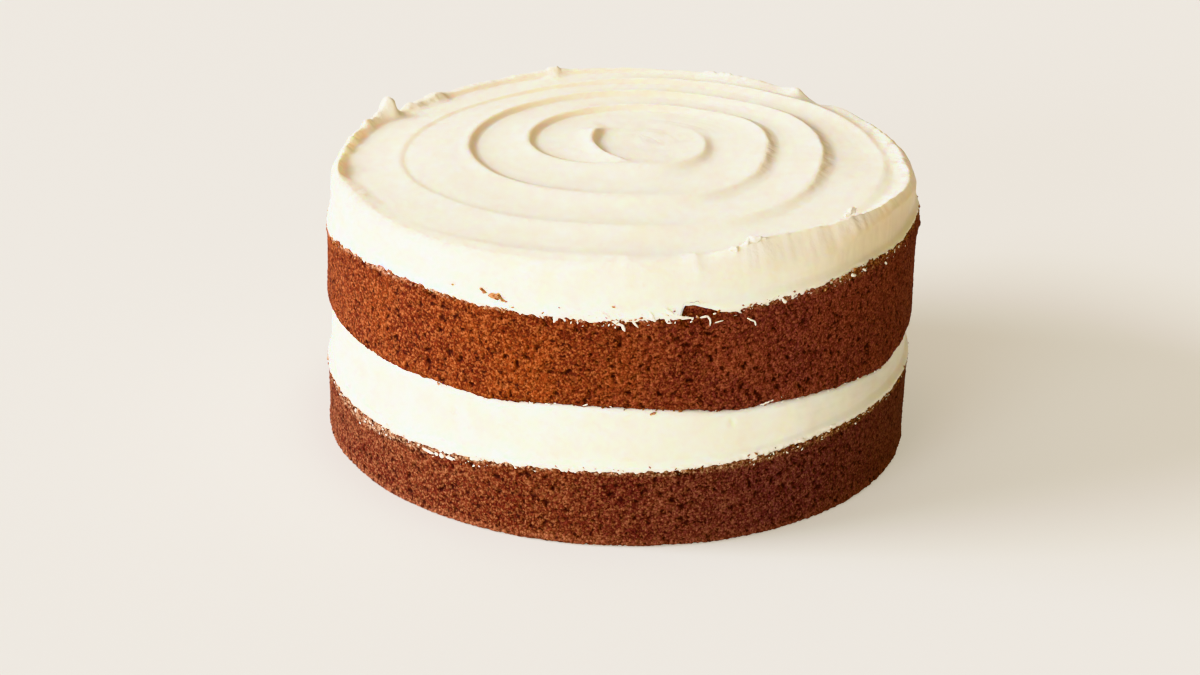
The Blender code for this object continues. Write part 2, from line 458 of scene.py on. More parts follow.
def grain_round(bearing, size, seed):
    """Smooth noise round the side at each bearing, with lumps of about that size."""
    edge = np.stack([np.cos(bearing), np.sin(bearing), np.zeros_like(bearing)], 1) * CAKE_RADIUS
    return grain(edge, size, seed)


def scraped(points, seed):
    """The side of scraped cream: long shallow waves and the fine level drag of the knife."""
    waves = 0.30 * grain(points, 16 * MM, seed) + 0.10 * grain(points, 4 * MM, seed + 1)
    drag = 0.07 * grain(points * np.array([0.12, 0.12, 1.0]), 1.0 * MM, seed + 2)
    return (waves + drag) * MM


def pits(points, places):
    """How deep the side is pitted at points, by pits listed as bearings, heights and sizes."""
    bearing = np.degrees(np.arctan2(points[:, 1], points[:, 0]))
    depth = np.zeros(len(points))
    for where, high, size in places:
        along = (bearing - where) * math.radians(1) * CAKE_RADIUS
        off = np.hypot(along, points[:, 2] - high * MM) / (size * MM)
        depth = depth + size * MM * 0.6 * np.exp(-(off**2))
    return depth


def feathered(points, below, hang, seed):
    """How far cream stands out from its own radius where it thins to nothing over the crumb. It
    ends about hang mm below the seam, and its last millimetres break up among the crumbs."""
    thin = np.clip((hang - below) / 1.4, -1.5, 1.0)
    speckle = 0.6 * grain(points, 1.0 * MM, seed) + 0.9 * grain(points, 2.6 * MM, seed + 1)
    broken = ramp(below, hang - 2.2, hang + 0.2)
    return SPONGE_FACE_RADIUS - FILLING_RADIUS + (0.5 * thin + 0.5 * broken * speckle) * MM


def filling():
    """The filling's skin. Its hem thins out over the sponge below."""
    columns = 2 * CREAM_COLUMNS
    bearing, side = round_the_side(columns)
    rim = side * FILLING_RADIUS
    low = seam_height(LOWER_SPONGE_TOP, *rim.T)
    high = seam_height(FILLING_TOP, *rim.T) - FILLING_EDGE_DROP
    ragged = 0.3 * grain_round(bearing, 1.4 * MM, 31) + 0.5 * grain_round(bearing, 3.5 * MM, 35)
    ragged = ragged + 0.7 * grain_round(bearing, 9 * MM, 32)
    hang = 0.8 - bumps(bearing, FILLING_HEM_HELD) + 0.7 * ragged
    hem = low - (hang + HEM_TUCK) * MM
    rings, torn = [], []
    for inset in FILLING_TOP_INSETS:
        x, y = (side * (FILLING_RADIUS - inset * MM)).T
        rings.append(np.stack([x, y, seam_height(FILLING_TOP, x, y) - FILLING_TOP_GAP], 1))
        torn.append(np.zeros(columns))
    for share in np.concatenate([np.linspace(0, 0.72, 20), np.linspace(0.74, 1, 16)]):
        z = high + (hem - high) * share
        points = np.concatenate([rim, z[:, None]], 1)
        below = (low - z) / MM
        tuck = 0.7 * MM * ramp(share, 0.06, 0.0)
        face = scraped(points, 33) - tuck - pits(points, FILLING_PITS)
        onto = ramp(below, -3.0, -0.3)
        out = face * (1 - onto) + feathered(points, below, hang, 34) * onto
        points[:, :2] += side * out[:, None]
        rings.append(points)
        torn.append(0.6 * ramp(below, hang - 2.0, hang - 0.3) + 0.6 * ramp(share, 0.07, 0.0))
    for inset in FILLING_FOOT_INSETS:
        x, y = (side * (FILLING_RADIUS - inset * MM)).T
        rings.append(np.stack([x, y, seam_height(LOWER_SPONGE_TOP, x, y) + LAYER_GAP], 1))
        torn.append(np.zeros(columns))
    thin = [np.zeros(columns) for _ in rings]
    return ringed_piece("cream_filling_spread", rings, {"torn_cream": torn, "painted_warm_shade": thin}, cream)


cream_filling = filling()
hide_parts("cream_filling")
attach(cream_filling, "root")


# --- Upper sponge -----------------------------------------------------------------------------
# The second round of sponge, a warmer and oranger brown, laid on the filling with its baked foot
# down. The foot hangs a little proud, the top edge is torn, and a chip is gone at the front right.

CHIP_DEPTH = 2.2 * MM
# The bearings between which the chip sets in at its left and at its right.
CHIP_LEFT = (-79.4, -77.6)
CHIP_RIGHT = (-66.5, -69.0)
# How far over the seam the cream ends at the chip's left, and how far it sinks to its right, in mm.
CHIP_CREAM_RISE = 3.3
CHIP_CREAM_SINK = 5.3
UPPER_EDGE_LIFT = ((0.9, -35, 9), (0.7, -134, 9))
UPPER_TORN_BAND = ((2.4, -46, 20), (0.8, 60, 60))


def chip_at(bearing):
    """The chip's share at a bearing, and how far over the seam the cream ends there, in mm: high
    at the chip's left and under the seam at its right."""
    turned = (np.degrees(bearing) + 180) % 360 - 180 + 0.8 * grain_round(bearing, 2.5 * MM, 87)
    share = ramp(turned, *CHIP_LEFT) * ramp(turned, *CHIP_RIGHT)
    return share, CHIP_CREAM_RISE - CHIP_CREAM_SINK * ramp(turned, -79.5, -67.0)


def upper_sponge_shape(points, bearing, share, depth):
    """The chip, the rough clods at the far right, the nibbled top and its golden torn crumb. The
    sponge's edge follows the cream up over the chip's left, so that no gap opens there. Its top
    band bakes a deeper red, and painted shade darkens the lit left side and the chip's recess."""
    chipped, cream_rise = chip_at(bearing)
    rough_edge = 1.2 * MM * grain(points, 2.5 * MM, 85)
    gone = ramp(depth + rough_edge, 5.0 * MM, 2.8 * MM) * chipped
    chip = CHIP_DEPTH * gone
    clods = np.exp(-(((depth - 4.5 * MM) / (3 * MM)) ** 2)) * bump_at(bearing, -9, 7)
    clods = clods * (0.9 + 0.7 * grain(points, 2.2 * MM, 86)) * MM
    sag = 0.25 * MM * ramp(share, 0.25, 0.05)
    nibble = 0.9 * grain(points, 2.1 * MM, 81) + 0.5 * grain(points, 6 * MM, 82)
    lift = 0.3 + bumps(bearing, UPPER_EDGE_LIFT) + nibble
    lift = (lift + round(share) * chipped * np.maximum(cream_rise + 0.8, 0)) * MM
    deep = 1.2 + bumps(bearing, UPPER_TORN_BAND)
    torn = ramp(depth / MM + 0.9 * grain(points, 2.0 * MM, 83), deep, deep * 0.3)
    redder_and_painted_shade = ramp(depth / MM, 12, 2) * (0.5 + 0.5 * grain(points, 15 * MM, 84))
    # Painted shade: a darker patch on the lit left side of the upper sponge.
    redder_and_painted_shade = np.maximum(redder_and_painted_shade, 0.6 * bump_at(bearing, -168, 28))
    # The chip's recess, gone, also gets painted shade in this mask.
    return clods + sag - chip, lift, 0.8 * torn * (1 - gone), np.maximum(0.8 * redder_and_painted_shade, 0.6 * gone)


upper_crumb = sponge_crumb(
    "torn_warm_sponge",
    red="#692816",
    orange="#863c1b",
    browned="#622719",
    grain="#ad6539",
    dark="#4a1a0f",
    torn="#8e5431",
    torn_pale="#d2a783",
    pore="#2b110c",
    moist="#8a5c5c",
)
upper_sponge = sponge(
    "upper_sponge",
    (FILLING_TOP, UPPER_SPONGE_TOP),
    (SPONGE_FACE_RADIUS, 101.3 * MM),
    edge=1.0 * MM,
    corner=2.0 * MM,
    shape=upper_sponge_shape,
    seed=11,
    material=upper_crumb,
)
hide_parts("sponge_upper")
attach(upper_sponge, "root")


# --- Cream topping ----------------------------------------------------------------------------
# The same cream, spread thick on top. A palette knife one ridge wide turned a spiral from the rim
# to the middle, and the side was then scraped, which threw up a rough lip round the rim.

TOPPING_FLOOR = 95.9 * MM
TOPPING_LEAN = 2.6 * MM
TOPPING_RADIUS = 99.8 * MM
TOPPING_GAP = 0.1 * MM
RING_STEP = 0.9 * MM
# The rounded shoulder's usual width, in mm.
SHOULDER_WIDTH = 4.4
SWIRL_PITCH = 21.8 * MM
SWIRL_TIGHTENING = 0.61 * MM
SWIRL_FIRST_RADIUS = 16.0 * MM
SWIRL_INNER_CENTRE = np.array([4.75, 25.1]) * MM
SWIRL_OUTER_CENTRE = np.array([2.0, -4.1]) * MM
# Where the spiral runs wide of its rule: each how far in mm, its bearing and half width in
# degrees, and the reaches from the centre, in mm, between which it sets in.
SWIRL_WANDERS = (
    (3.2, 34, 17, 20, 45),
    (-2.4, -12, 20, 20, 45),
    (2.2, -72, 22, 20, 45),
    (-3.0, -10, 45, 45, 32),
    (3.0, 0, 40, 72, 84),
    (3.8, 180, 40, 60, 70),
)
# The last short scoop in the middle: where its arc is centred, and the arc's radius.
SCOOP_X = 14 * MM
SCOOP_Y = 17 * MM
SCOOP_RADIUS = 25.5 * MM
# Along the lip: its knobs and dips, then the feet of its torn curls and flicks.
LIP_KNOBS = (
    (4.8, 151.2, 1.4),
    (1.8, 154.5, 3.0),
    (1.7, 143.8, 2.4),
    (2.2, 137.5, 2.8),
    (0.8, -160, 13),
    (1.6, 107, 2.2),
    (1.2, 49.5, 2.2),
    (-2.0, 43.5, 4),
    (1.2, 67, 9),
)
LIP_CURLS = ((0.6, -64, 3.5), (0.6, -39, 3.5), (0.7, -76, 1.8), (0.6, -88, 2.5))
# Where the hem hangs more or less than elsewhere.
TOPPING_HEM = ((1.0, -100, 15), (0.7, -57, 8), (-0.9, -35, 9), (-0.63, -134, 9), (-0.9, -139, 14))
TOPPING_PITS = ((-122, 95, 0.7), (-101, 93, 0.9), (-96, 89, 0.7), (-70, 90, 0.5))
TOPPING_FOOT_INSETS = (4, 9, 40)


def crest_phase(x, y):
    """For points on the top: the turns of the spiral out to each, whole numbers on the crests,
    the bearing from the spiral's centre, and the width of a turn there."""
    out = np.clip(np.hypot(x, y) / CAKE_RADIUS, 0, 1)[:, None]
    centre = SWIRL_INNER_CENTRE * (1 - out) + SWIRL_OUTER_CENTRE * out
    away_x, away_y = x - centre[:, 0], y - centre[:, 1]
    reach, bearing = np.hypot(away_x, away_y), np.arctan2(away_y, away_x)
    wander = MM * sum(
        far * bump_at(bearing, middle, half_width) * ramp(reach, start * MM, end * MM)
        for far, middle, half_width, start, end in SWIRL_WANDERS
    )
    under_root = SWIRL_PITCH**2 - 4 * SWIRL_TIGHTENING * (reach - wander - SWIRL_FIRST_RADIUS)
    turns = (SWIRL_PITCH - np.sqrt(np.maximum(under_root, 0))) / (2 * SWIRL_TIGHTENING)
    phase = turns + bearing / (2 * math.pi) - 0.5
    return phase, turns, bearing, SWIRL_PITCH - 2 * SWIRL_TIGHTENING * turns


def fall(away, reach, power, soft=0.4 * MM):
    """A flank that falls from 1 on the crest to 0 at its reach, with the crest just rounded."""
    return np.clip(1 - (np.sqrt(away**2 + soft**2) - soft) / reach, 0, 1) ** power


def crest_height(turns, bearing):
    """How high a crest stands: most at the back left and the front, and faint on the third
    turn's left, on the outmost turn and at the spiral's two ends."""
    leftward = 0.5 - 0.5 * np.cos(bearing)
    height = 1.32 + 0.4 * np.cos(bearing - math.radians(115)) + 0.48 * bump_at(bearing, -15, 45)
    height = height + 0.85 * bump_at(bearing, -90, 30)
    faint = ramp(turns, 2.2, 2.9) * ramp(-turns, -3.9, -3.4) * ramp(leftward, 0.45, 0.9)
    outmost = 0.75 * ramp(turns, 3.2, 3.7) * ramp(leftward, 0.6, 0.2)
    last = np.clip(1.3 * bump_at(bearing, 170, 32) + 0.8 * bump_at(bearing, -140, 32), 0, 0.95)
    last = last * ramp(turns, 3.5, 3.75)
    height = height * (1 - 0.62 * faint) * (1 - outmost) * (1 - last) * ramp(turns, 0.30, 0.62)
    return height * ramp(-turns, -4.5, -4.1) * MM


def swirl_height(x, y):
    """The spiral's ridges: steep inside at the left and steep outside at the right, where the
    knife's edge dragged, with the last short scoop in the middle."""
    phase, turns, bearing, pitch = crest_phase(x, y)
    leftward = 0.5 - 0.5 * np.cos(bearing + math.radians(20))
    past = phase - np.floor(phase)
    reach_in = (2.4 - 0.7 * ramp(turns, 2.2, 2.9) + 15 * (1 - leftward) ** 2.4) * MM
    reach_out = (5.0 + 12 * leftward**1.5) * MM
    power_in = 1.3 + 0.6 * (1 - leftward)
    power_out = 1.9 + 0.3 * leftward
    soft = (0.4 + 1.1 * bump_at(bearing, -85, 38)) * MM
    inner = crest_height(turns - past, bearing) * fall(past * pitch, reach_out, power_out, soft)
    outer = crest_height(turns - past + 1, bearing)
    outer = outer * fall((1 - past) * pitch, reach_in, power_in, soft)
    scoop_bearing = np.degrees(np.arctan2(y - SCOOP_Y, x - SCOOP_X)) % 360
    along = ramp(scoop_bearing, 142, 165) * ramp(-scoop_bearing, -262, -225)
    off = np.hypot(x - SCOOP_X, y - SCOOP_Y) - SCOOP_RADIUS
    scoop = np.where(off < 0, fall(-off, 2.6 * MM, 1.4), fall(off, 13 * MM, 2.2))
    return np.maximum(inner + outer, 2.0 * MM * along * scoop)


def steepness(x, y):
    """How steep the spiral's ridges are over points x, y, from 0 where they are level to 1."""
    step = 0.2 * MM
    further = 1 + step / np.maximum(np.hypot(x, y), 1 * MM)
    rise = np.abs(swirl_height(x * further, y * further) - swirl_height(x, y))
    return ramp(rise / step, 0.1, 0.7)


def rim_shape(bearing):
    """Round the rim: how far in the shoulder starts, how far down it ends, how much of the top
    falls away towards it, and how crisp its edge is."""
    right = ramp(bump_at(bearing, -38, 36), 0.25, 0.6)
    left = ramp(bump_at(bearing, 173, 25), 0.35, 0.7)
    back_right = bump_at(bearing, 30, 30)
    leaning = bump_at(bearing, -57, 17)
    width = SHOULDER_WIDTH - 3.2 * right - 2.6 * left - 0.9 * back_right
    width = (width + 0.4 * bump_at(bearing, 2, 14) + 3.4 * leaning) * MM
    height = (8.5 - 5.5 * right - 3.5 * left + 8 * leaning) * MM
    drop = 1.8 * bump_at(bearing, 150, 45) + 1.9 * bump_at(bearing, 178, 20)
    drop = (drop + 2.1 * bump_at(bearing, 16, 24)) * MM
    return width, height, drop, right


def rim_lip(points, bearing, inside):
    """The lip the scraping threw up, over points that distance inside the rim: a torn bead along
    the left, a peak and two blobs behind it, knobs at the back and a turned-up edge at the right
    with a torn curl at each end, rough where it goes on at the far right."""
    rough = grain(points, 1.8 * MM, 51)
    lumpy = grain(points, 5 * MM, 52)
    bead = ramp(bump_at(bearing, 170, 23), 0.35, 0.6)
    near = fall(np.maximum(inside - (0.6 + 0.5 * lumpy) * MM, 0), (5.0 - 2.8 * bead) * MM, 1.2)
    knobs = bumps(bearing, LIP_KNOBS)
    back = bump_at(bearing, 120, 28)
    right = ramp(bump_at(bearing, -45, 26), 0.15, 0.7) + 0.2 * bump_at(bearing, -8, 20)
    far_right = bump_at(bearing, 8, 20)
    curls = bumps(bearing, LIP_CURLS)
    height = 2.1 * bead + knobs + 0.4 * back + 3.0 * right + curls
    height = height + 1.3 * bump_at(bearing, -57, 17) + 0.9 * far_right
    shake = 1.2 * bead + 0.7 * np.maximum(knobs, 0) + 0.4 * back + 0.35 * right + 0.5 * curls
    shake = shake + 0.12 + 0.9 * far_right
    lip = near * (height + shake * (0.8 * rough + 0.5 * lumpy))
    torn = near * np.clip(0.3 * bead + 0.4 * knobs + 0.4 * back + 0.3 * right + curls, 0, 1)
    return lip * MM, torn


def top_skin(x, y, inside):
    """The height of the topping's upper face over points x, y and how torn it is there."""
    points = np.stack([x, y, np.zeros_like(x)], 1)
    edge_bearing = np.arctan2(y, x)
    phase, turns, bearing, pitch = crest_phase(x, y)
    past = (phase - np.round(phase)) * pitch
    drag_place = np.stack([phase * 22, bearing * 1.6, turns * 0.2], 1)
    drag = 0.05 * MM * (1 + 1.5 * bump_at(bearing, 60, 35)) * grain(drag_place, 1.0, 41)
    middle = ramp(turns, 0.8, 0.3)
    soft = 0.30 * MM * grain(points, 24 * MM, 42)
    soft = soft + (0.08 + 0.2 * middle) * MM * grain(points, 6 * MM, 43)
    flank = np.exp(-(((past - 1.7 * MM) / (1.5 * MM)) ** 2)) * ramp(turns, 0.8, 1.4)
    flank = flank * bump_at(bearing, 5, 38) * ramp(-turns, -3.6, -3.2)
    along = np.stack([past / (1.5 * MM), bearing * turns * 5, turns * 3], 1)
    tears = 0.5 * MM * flank * (grain(along, 1.0, 44) + 0.5 * grain(points, 1.6 * MM, 45))
    drop = rim_shape(edge_bearing)[2] * ramp(inside, 40 * MM, 3 * MM)
    lip, torn = rim_lip(points, edge_bearing, inside)
    lean = TOPPING_LEAN * x / CAKE_RADIUS
    z = TOPPING_FLOOR + lean + swirl_height(x, y) + drag + soft + tears + lip - drop
    return z, np.clip(0.4 * flank + torn, 0, 1)


def hem_shape(bearing):
    """Round the topping's hem: how far it hangs below the seam, in mm, with its drips, and the
    share of the gap over the chip, where it ends above the seam at the left."""
    ragged = 0.3 * grain_round(bearing, 1.3 * MM, 62) + 0.7 * grain_round(bearing, 3 * MM, 66)
    ragged = ragged + 0.7 * grain_round(bearing, 8 * MM, 63)
    drips = ramp(grain_round(bearing, 1.5 * MM, 67), 0.3, 0.6) * bump_at(bearing, -90, 22)
    gap, rise_over_chip = chip_at(bearing)
    hang = 0.5 + bumps(bearing, TOPPING_HEM) + 0.9 * ragged + 1.3 * drips
    return hang * (1 - gap) + (0.4 * ragged - rise_over_chip) * gap, gap


def topping():
    """The topping's skin: the swirled top on rings that gather round the swirl's own centre, the
    rounded shoulder, the scraped side and the ragged hem that hangs over the sponge."""
    rings, torn, thin = [], [], []
    inner_rim = TOPPING_RADIUS - SHOULDER_WIDTH * MM
    for reach in np.arange(1.2 * MM, inner_rim + 0.1 * MM, RING_STEP):
        columns = CREAM_COLUMNS // (4 if reach < 22 * MM else 2 if reach < 46 * MM else 1)
        bearing, side = round_the_side(columns)
        drift = SWIRL_INNER_CENTRE * (1 - reach / inner_rim)
        widened = TOPPING_RADIUS - rim_shape(bearing)[0] - inner_rim
        grown = reach + widened * (reach / inner_rim) ** 5
        x, y = (drift + side * grown[:, None]).T
        inside = TOPPING_RADIUS - rim_shape(np.arctan2(y, x))[0] - np.hypot(x, y)
        z, tear = top_skin(x, y, inside)
        rings.append(np.stack([x, y, z], 1))
        torn.append(tear)
        # Painted warm shade on the ridges' steep sides.
        thin.append(0.5 * steepness(x, y))
    bearing, side = round_the_side(CREAM_COLUMNS)
    _, height, _, crisp = rim_shape(bearing)
    crest, crest_torn = rings[-1][:, 2], torn[-1]
    # Painted warm shade round the shaded right side, on the shoulder and down the side.
    right_side_painted_shade = 0.8 * ramp(bump_at(bearing, -10, 46), 0.15, 0.75)
    start = np.hypot(rings[-1][:, 0], rings[-1][:, 1])
    for turn in np.linspace(0, math.pi / 2, 15)[1:]:
        out = start + (TOPPING_RADIUS - start) * math.sin(turn)
        z = crest - height * (1 - math.cos(turn)) ** (1 - 0.5 * crisp)
        points = np.concatenate([side * out[:, None], z[:, None]], 1)
        fade = crest_torn * math.cos(turn) ** 2
        move = scraped(points, 61) * math.sin(turn) + 0.4 * MM * fade * grain(points, 1.6 * MM, 64)
        points[:, :2] += side * move[:, None]
        rings.append(points)
        torn.append(fade)
        thin.append(right_side_painted_shade * math.sin(turn) ** 2)
    columns = 2 * CREAM_COLUMNS
    fine_bearing, side = round_the_side(columns)
    shoulder_foot = np.interp(fine_bearing, bearing, crest - height, period=2 * math.pi)
    low = seam_height(UPPER_SPONGE_TOP, *(side * CAKE_RADIUS).T)
    hang, gap = hem_shape(fine_bearing)
    hem = low - (hang + HEM_TUCK * (1 - gap)) * MM
    upright = np.array([1.0, 1.0, 0.12])
    for share in np.concatenate([np.linspace(0.07, 0.66, 7), np.linspace(0.69, 1, 14)]):
        z = shoulder_foot + (hem - shoulder_foot) * share
        points = np.concatenate([side * TOPPING_RADIUS, z[:, None]], 1)
        below = (low - z) / MM
        streaks = 0.07 * MM * bump_at(fine_bearing, -35, 40) * grain(points * upright, 1.6 * MM, 65)
        face = scraped(points, 61) + streaks - pits(points, TOPPING_PITS)
        onto = ramp(below, -3.2, -0.3)
        out = face * (1 - onto) + feathered(points, below, hang, 68) * onto
        points[:, :2] += side * out[:, None]
        rings.append(points)
        torn.append(0.5 * ramp(below, -1.2, 0.2))
        thin.append(np.interp(fine_bearing, bearing, right_side_painted_shade, period=2 * math.pi))
    for inset in TOPPING_FOOT_INSETS:
        x, y = (side * (TOPPING_RADIUS - inset * MM)).T
        rings.append(np.stack([x, y, seam_height(UPPER_SPONGE_TOP, x, y) + TOPPING_GAP], 1))
        torn.append(np.zeros(columns))
        thin.append(np.zeros(columns))
    return ringed_piece("cream_topping_swirl", rings, {"torn_cream": torn, "painted_warm_shade": thin}, cream)


cream_topping = topping()
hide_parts("cream_topping")
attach(cream_topping, "root")


# --- Cream flecks -----------------------------------------------------------------------------
# Dribbles and smears of the same cream, dragged over the torn crumb by the palette knife along the
# seams and rubbed into the lower sponge's torn band. With them, the three curls that the scraping
# tore up on the rim at the right.

# Each dribble: its width in mm, then the bearings in degrees and heights in mm it runs through.
DRIBBLES = (
    (1.3, (-93.3, 82.5), (-91.0, 79.4), (-89.3, 77.8), (-88.8, 75.8)),
    (0.8, (-87.3, 79.2), (-86.5, 77.6)),
    (1.6, (-84.6, 82.6), (-83.4, 79.4)),
    (1.3, (-82.0, 84.0), (-80.0, 81.4), (-78.3, 80.3), (-77.0, 80.2)),
    (0.8, (-75.4, 80.2), (-74.2, 80.7), (-73.6, 79.4), (-73.6, 77.1)),
    (0.9, (-66.5, 78.3), (-65.0, 76.9), (-64.8, 75.3)),
    (1.2, (-96.4, 80.4), (-95.8, 78.6)),
    (1.0, (-104.0, 80.0), (-103.4, 78.3)),
    (1.4, (-59.6, 83.0), (-58.6, 81.2)),
    (1.2, (-46.6, 84.0), (-45.4, 82.6)),
    (1.4, (-43.0, 84.4), (-41.6, 83.6)),
    (1.0, (-39.6, 84.6), (-38.4, 83.4)),
    (1.0, (-31.5, 82.6), (-30.6, 81.2)),
    (1.0, (-63.0, 47.0), (-60.8, 47.9), (-57.2, 48.6)),
    (1.4, (-155.8, 23.8), (-154.6, 22.8)),
    (1.5, (-150.6, 22.4), (-149.4, 21.0)),
    (1.6, (-138.6, 24.8), (-137.6, 23.9)),
    (1.4, (-136.2, 24.0), (-135.4, 23.2)),
    (1.2, (-129.4, 23.2), (-127.2, 22.3), (-125.4, 22.0)),
    (2.2, (-125.2, 22.4), (-123.0, 22.3)),
    (1.5, (-122.4, 22.2), (-120.4, 22.6)),
    (1.4, (-117.4, 24.4), (-115.4, 24.8)),
    (1.1, (-109.8, 26.2), (-108.2, 26.5)),
    (1.0, (-46.0, 31.9), (-44.6, 32.2)),
    (1.0, (-54.0, 30.6), (-52.6, 31.0)),
)
# Each curl torn up along the rim: its width and distance from the axis in mm, then where it runs.
RIM_CURLS = (
    (2.6, 95.3, (-66.2, 101.5), (-64.2, 102.5), (-62.0, 101.9)),
    (1.9, 95.6, (-69.4, 99.5), (-67.4, 100.4)),
    (2.3, 95.1, (-41.4, 102.0), (-39.3, 102.7), (-37.4, 102.5)),
)
# Each scatter of small flecks: its seam, how far over it and how widely spread in mm, how many
# there are, and the bearings between which they lie.
FLECK_SCATTERS = (
    (UPPER_SPONGE_TOP, -1.5, 0.9, 80, (-102, 20)),
    (UPPER_SPONGE_TOP, -1.2, 1.1, 70, (-180, 180)),
    (FILLING_TOP, 0.3, 0.4, 90, (-180, 180)),
    (LOWER_SPONGE_TOP, -1.8, 1.1, 70, (-170, -112)),
    (LOWER_SPONGE_TOP, -1.4, 0.8, 60, (-66, -15)),
    (LOWER_SPONGE_TOP, -1.5, 0.9, 90, (-15, 190)),
)


def on_side(radius, bearing, height):
    """Points that far from the axis, at bearings in degrees and heights in mm."""
    turn = np.radians(bearing)
    return np.stack([radius * np.cos(turn), radius * np.sin(turn), np.multiply(height, MM)], -1)


def morsel(path, width, depth, rough, seed):
    """The points and faces of one soft lump drawn out along a path on the side. rough is how
    uneven it is, as a share of its width."""
    path = np.array(path)
    count = max(5, min(16, round(np.linalg.norm(np.diff(path, axis=0), axis=1).sum() / (0.4 * MM))))
    steps = np.linspace(0, len(path) - 1, count)
    line = np.stack([np.interp(steps, np.arange(len(path)), path[:, k]) for k in range(3)], 1)
    line = line + 0.3 * width * np.stack([grain(line, 2 * MM, seed + k) for k in range(3)], 1)
    along = np.gradient(line, axis=0)
    outward = line * np.array([1, 1, 0])
    outward /= np.linalg.norm(outward, axis=1, keepdims=True)
    across = np.cross(along, outward)
    across /= np.linalg.norm(across, axis=1, keepdims=True) + 1e-9
    share = np.linspace(-0.93, 0.93, count)
    round_off = np.sqrt(1 - share**2) * (1 + 0.5 * grain(line, 1.3 * MM, seed + 3))
    rings = []
    for k in range(count):
        angle = np.arange(8) * math.pi / 4
        offset = np.outer(np.cos(angle), across[k] * width / 2)
        offset = offset + np.outer(np.sin(angle), outward[k] * depth / 2)
        ring = line[k] + offset * max(round_off[k], 0.25)
        ring = ring + rough * width * grain(ring, 0.7 * width, seed + 4)[:, None] * outward[k]
        rings.append(ring)
    return closed_skin(rings)


def seam_at(seam, bearing):
    """A seam's height on the side, in mm, at a bearing in degrees."""
    turn = math.radians(bearing)
    return float(seam_height(seam, CAKE_RADIUS * math.cos(turn), CAKE_RADIUS * math.sin(turn))) / MM


def scattered(name, morsels, masks, material):
    """One piece made of many separate morsels."""
    points, faces, count = [], [], 0
    for own_points, own_faces in morsels:
        faces += [[corner + count for corner in face] for face in own_faces]
        points.append(own_points)
        count += len(own_points)
    mesh = bpy.data.meshes.new(name)
    mesh.from_pydata(np.concatenate(points).tolist(), [], faces)
    for mask, value in masks.items():
        layer = mesh.attributes.new(mask, "FLOAT", "POINT")
        layer.data.foreach_set("value", np.full(count, value, np.float32))
    mesh.shade_smooth()
    piece = placed(name, mesh, material)
    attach(piece, "root")


def cream_flecks():
    """The named dribbles and curls, and a seeded scatter of smaller flecks along the seams."""
    chance = np.random.default_rng(3)
    flecks = []
    for number, (width, *stops) in enumerate(DRIBBLES):
        bearings, heights = zip(*stops)
        path = on_side(SPONGE_FACE_RADIUS, bearings, heights)
        flecks.append(morsel(path, 0.85 * width * MM, 0.8 * MM, 0.35, 100 + 7 * number))
    for number, (width, radius, *stops) in enumerate(RIM_CURLS):
        path = on_side(radius * MM, *zip(*stops))
        flecks.append(morsel(path, width * MM, 0.8 * width * MM, 0.5, 300 + 7 * number))
    for seam, offset, spread, count, (first, last) in FLECK_SCATTERS:
        for bearing in chance.uniform(first, last, count):
            height = seam_at(seam, bearing) + offset + chance.normal(0, spread)
            run, drop = chance.normal(0, 0.5), chance.normal(0, 0.5)
            path = on_side(SPONGE_FACE_RADIUS, (bearing, bearing + run), (height, height + drop))
            width = chance.uniform(0.2, 0.65) ** 1.3 * MM
            flecks.append(morsel(path, width, 0.8 * width, 0.4, chance.integers(1, 900)))
    return flecks


smear = whipped_cream("thin_smeared_cream_cheese", 0.1 * MM)
fleck_masks = {"torn_cream": 0.8, "painted_warm_shade": 0.0}
scattered("cream_flecks", cream_flecks(), fleck_masks, smear)


# --- Sponge crumbs ----------------------------------------------------------------------------
# Loose crumbs of the sponge, torn off by the saw and the palette knife and stuck in the cream
# along its edges, with a few larger ones at the front.

# Each crumb: its size in mm, its bearing in degrees and its height in mm.
NAMED_CRUMBS = (
    (2.0, -115.4, 83.8),
    (2.4, -113.4, 82.6),
    (2.5, -112.2, 82.2),
    (2.0, -110.9, 81.5),
    (0.8, -121.8, 83.2),
    (0.9, -91.0, 83.6),
    (0.8, -100.6, 81.9),
    (1.3, -83.2, 47.4),
    (1.1, -78.2, 47.8),
    (0.8, -71.0, 47.4),
)
# Each scatter of small crumbs: its seam, its distance from the axis, how far over the seam and
# how widely spread in mm, and how many there are.
CRUMB_SCATTERS = (
    (UPPER_SPONGE_TOP, SPONGE_FACE_RADIUS, -0.5, 0.8, 420),
    (FILLING_TOP, FILLING_RADIUS, -0.1, 0.2, 160),
    (LOWER_SPONGE_TOP, SPONGE_FACE_RADIUS + 0.2 * MM, -0.2, 0.5, 160),
)
CRUMB_STAND = 0.15 * MM
DEGREES_PER_MM = 0.57


def sponge_crumbs():
    """The named crumbs and a seeded scatter of smaller ones along the edges of the cream."""
    chance = np.random.default_rng(5)
    crumbs = []
    places = [
        (size, bearing, height, FILLING_RADIUS if height < 60 else TOPPING_RADIUS)
        for size, bearing, height in NAMED_CRUMBS
    ]
    for seam, radius, offset, spread, count in CRUMB_SCATTERS:
        for bearing in chance.uniform(-180, 180, count):
            height = seam_at(seam, bearing) + offset + chance.normal(0, spread)
            places.append((chance.uniform(0.3, 0.9) ** 1.3, bearing, height, radius))
    for size, bearing, height, radius in places:
        tilt = chance.uniform(-1, 1)
        along = 0.65 * size
        bearings = (bearing - along * DEGREES_PER_MM, bearing + along * DEGREES_PER_MM)
        heights = (height - along * tilt, height + along * tilt)
        path = on_side(radius + CRUMB_STAND, bearings, heights)
        crumbs.append(morsel(path, 0.8 * size * MM, 0.8 * size * MM, 0.5, chance.integers(1, 900)))
    return crumbs


